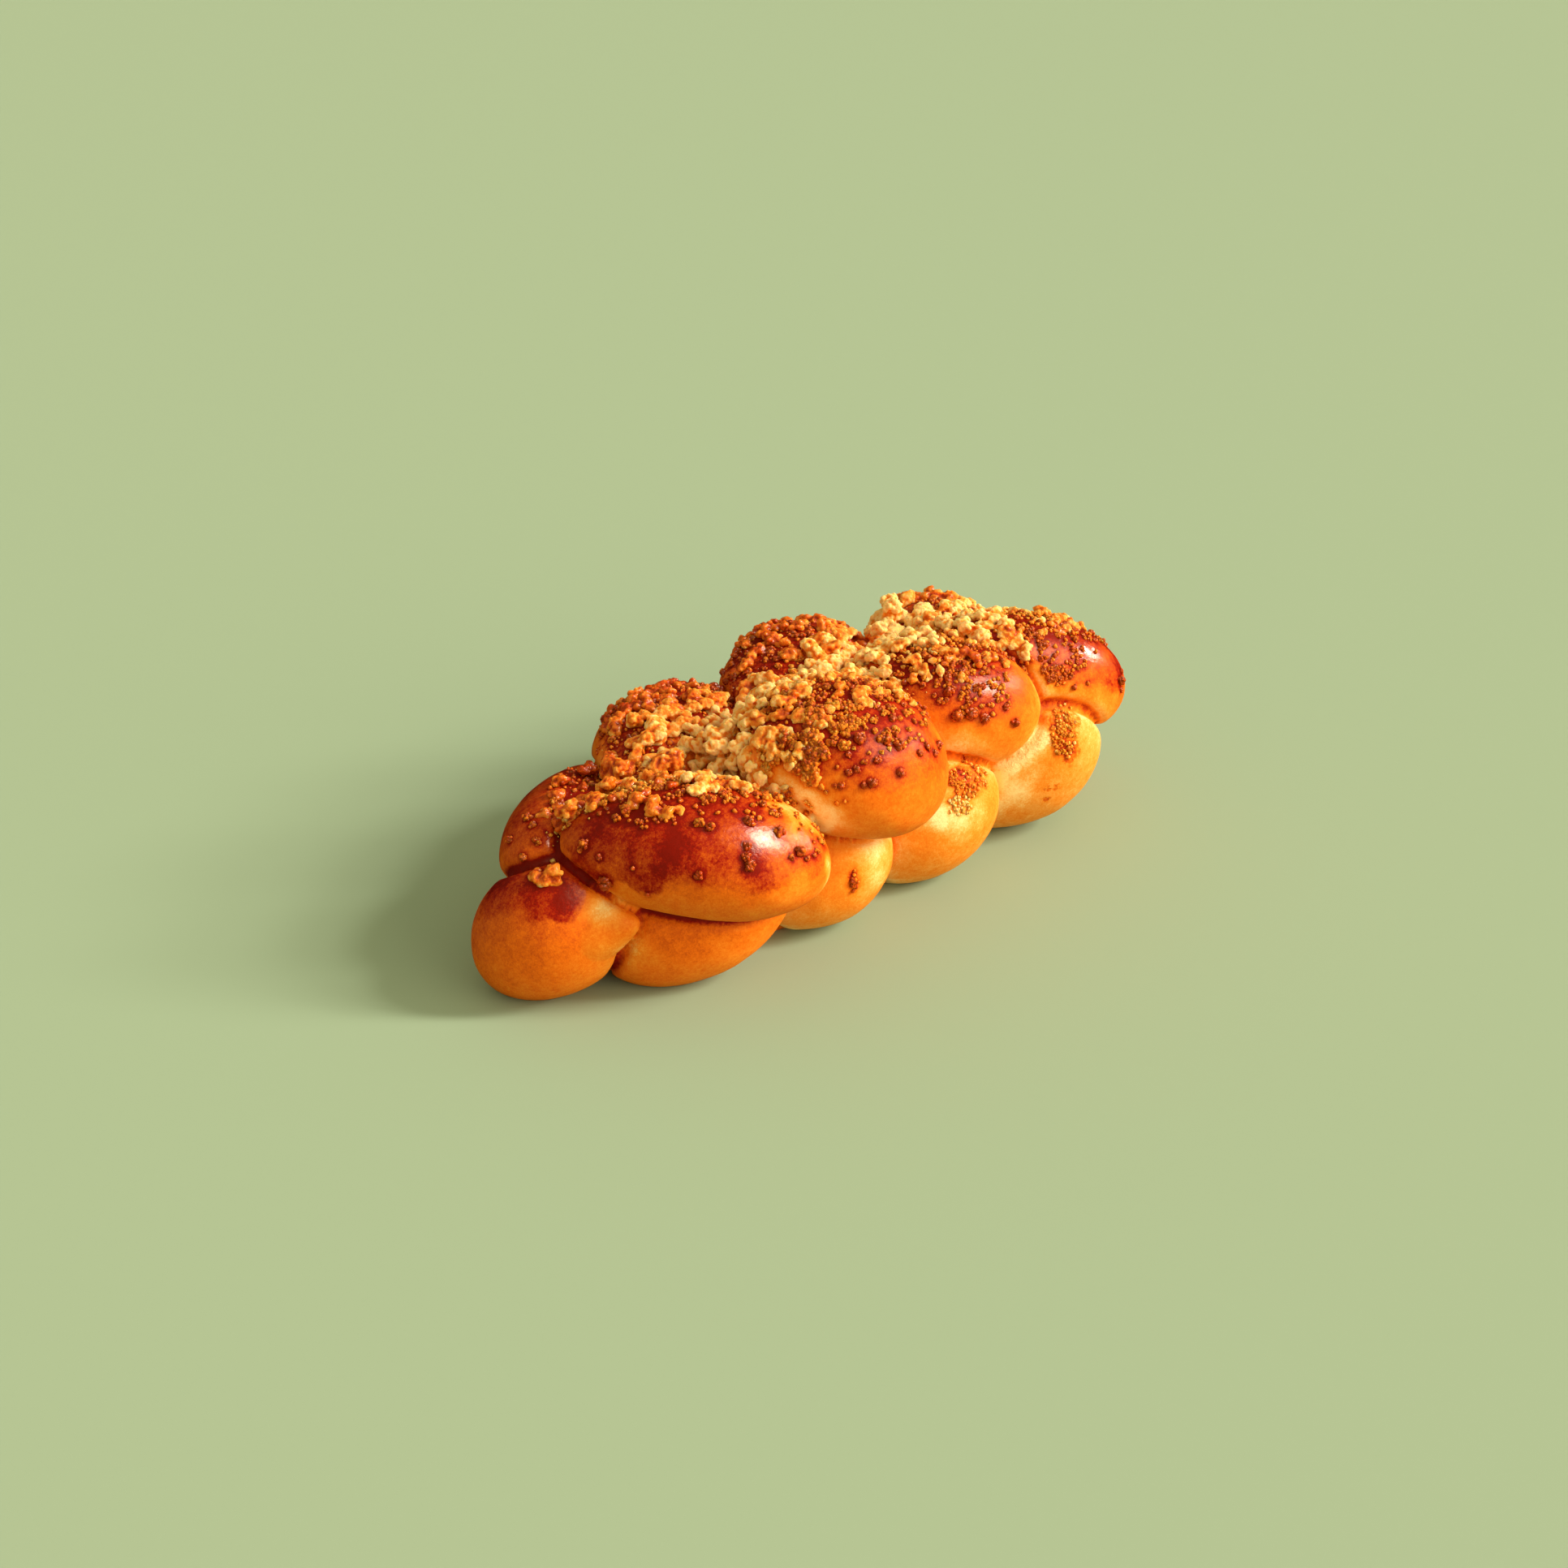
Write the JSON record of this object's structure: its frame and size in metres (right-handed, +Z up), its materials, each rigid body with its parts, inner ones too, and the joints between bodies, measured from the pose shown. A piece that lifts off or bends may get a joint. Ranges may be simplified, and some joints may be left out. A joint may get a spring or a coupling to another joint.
{
  "type": "challah",
  "caption": "Braided challah loaf of plaited dough ropes with a flat underside, a glossy crust and butter streusel heaped in the groove along its top.",
  "frame": {"origin": "bottom centre of the loaf's box, on the surface it rests on", "axes": "+X along the loaf from the tucked ball at its near end to its far end, +Z up; the side that the picture shows faces -Y"},
  "size_m": [0.2857, 0.1419, 0.0927],
  "materials": {
    "crust": "egg-washed bread crust, glossy red-brown on top and matt golden at the sides and in the creases",
    "streusel": "dry butter streusel, pale gold in the groove and toasted brown on the swells"
  },
  "bodies": {
    "root": {"loaf": "crust"}
  },
  "joints": []
}
